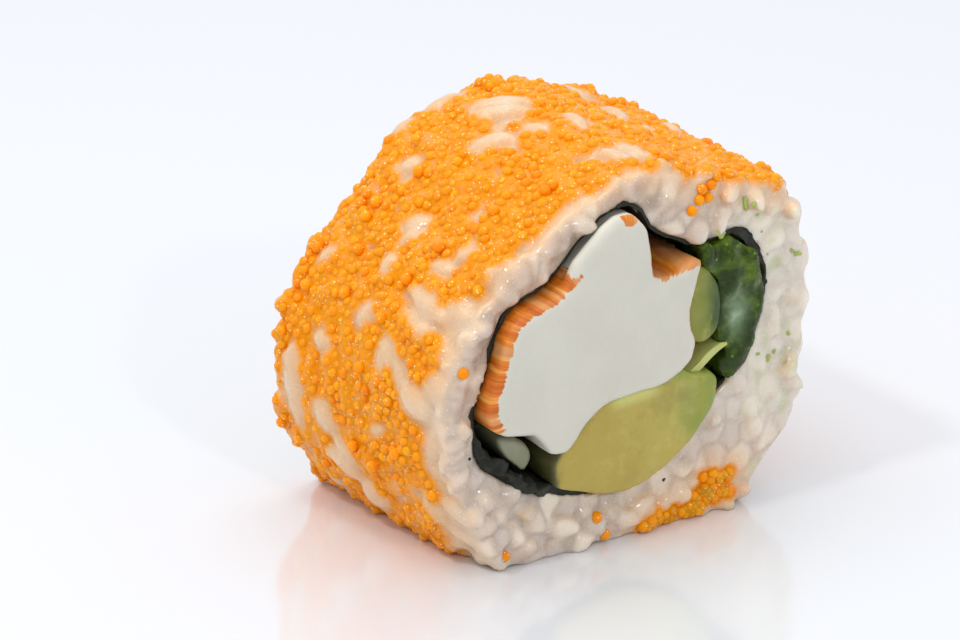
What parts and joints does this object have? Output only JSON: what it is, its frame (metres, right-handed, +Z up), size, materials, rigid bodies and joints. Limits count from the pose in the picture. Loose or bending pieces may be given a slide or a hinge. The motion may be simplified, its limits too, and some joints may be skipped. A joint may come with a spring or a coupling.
{
  "type": "uramaki roll",
  "caption": "Single slice of inside-out sushi roll resting on its flattened side: rice sleeve coated in orange roe, with nori round surimi, avocado and cucumber.",
  "frame": {"origin": "centre of the bounding box's underside, on the surface that the roll rests on", "axes": "+Z up, Y along the roll's axis with the cut face that shows best looking along -Y, X across the roll"},
  "size_m": [0.0452, 0.0304, 0.0375],
  "materials": {
    "rice": "moist cooked rice, soft and slightly translucent, peach where the roe stains it and grey-beige at the cuts",
    "roe": "glossy translucent orange capelin eggs",
    "nori": "damp near-black green seaweed sheet",
    "surimi": "fine-fibred white surimi with a brushed orange skin on the outside of the stick",
    "avocado": "smooth ripe avocado, yellow going green towards the rind side",
    "cucumber": "wet cucumber, dark green skin with pale translucent flesh and seeds",
    "cucumber_flesh": "pale wet cucumber flesh"
  },
  "bodies": {
    "root": {"rice": "rice", "roe_coat": "roe", "nori": "nori", "surimi": "surimi", "avocado": "avocado", "avocado_side": "avocado", "avocado_curl": "avocado", "cucumber": "cucumber", "cucumber_offcut": "cucumber_flesh"}
  },
  "joints": []
}
